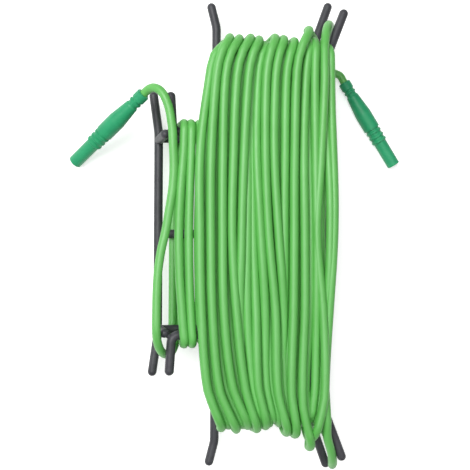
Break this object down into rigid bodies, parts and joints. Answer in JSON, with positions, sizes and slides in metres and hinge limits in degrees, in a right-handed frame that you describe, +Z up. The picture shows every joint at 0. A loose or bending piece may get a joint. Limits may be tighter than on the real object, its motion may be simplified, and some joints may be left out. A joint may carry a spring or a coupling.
{
  "type": "wire spool",
  "caption": "Open winding frame of dipped steel rods with a long insulated test lead wound on it, ending in shrouded 4 mm plugs.",
  "frame": {"origin": "centre of the frame and its turns in plan, at the lowest turns of the lead, with the free leads and plugs left out", "axes": "+X from the narrow grip to the drum's end, +Y along the turns towards the head, +Z up from the surface the reel lies on"},
  "size_m": [0.1897, 0.2644, 0.0501],
  "materials": {
    "dipped_steel": "satin dip coating",
    "lead": "satin",
    "plug": "satin",
    "contact": "nickel plated"
  },
  "bodies": {
    "reel": {"grip_end_rod": "dipped_steel", "middle_rod": "dipped_steel", "lower_end_rod": "dipped_steel", "upper_end_rod": "dipped_steel", "upper_rail_head": "dipped_steel", "upper_rail_foot": "dipped_steel", "lower_grip_bar_head": "dipped_steel", "lower_grip_bar_foot": "dipped_steel", "lower_drum_bar_head": "dipped_steel", "lower_drum_bar_foot": "dipped_steel", "grip_spine_bar": "dipped_steel", "drum_spine_bar": "dipped_steel", "grip_post_head": "dipped_steel", "grip_post_foot": "dipped_steel", "middle_post_head": "dipped_steel", "middle_post_foot": "dipped_steel", "end_post_head": "dipped_steel", "end_post_foot": "dipped_steel", "drum_inner_turns": "lead", "drum_turns": "lead", "grip_turns": "lead", "left_lead": "lead", "right_lead": "lead", "left_plug_body": "plug", "left_plug_shroud": "plug", "left_plug_pin": "contact", "left_plug_tip": "plug", "left_lead_end": "lead", "right_plug_body": "plug", "right_plug_shroud": "plug", "right_plug_pin": "contact", "right_plug_tip": "plug", "right_lead_end": "lead"},
    "left_contact": {"left_plug_contact": "contact"},
    "right_contact": {"right_plug_contact": "contact"}
  },
  "joints": [
    {"name": "left_contact_turn", "type": "hinge", "parent": "reel", "child": "left_contact", "pos_m": [-0.08536, 0.04423, 0.00833], "axis": [-0.5982, -0.5878, -0.5446], "continuous": true},
    {"name": "right_contact_turn", "type": "hinge", "parent": "reel", "child": "right_contact", "pos_m": [0.08755, 0.0494, 0.00475], "axis": [0.549, -0.8358, 0], "continuous": true}
  ]
}
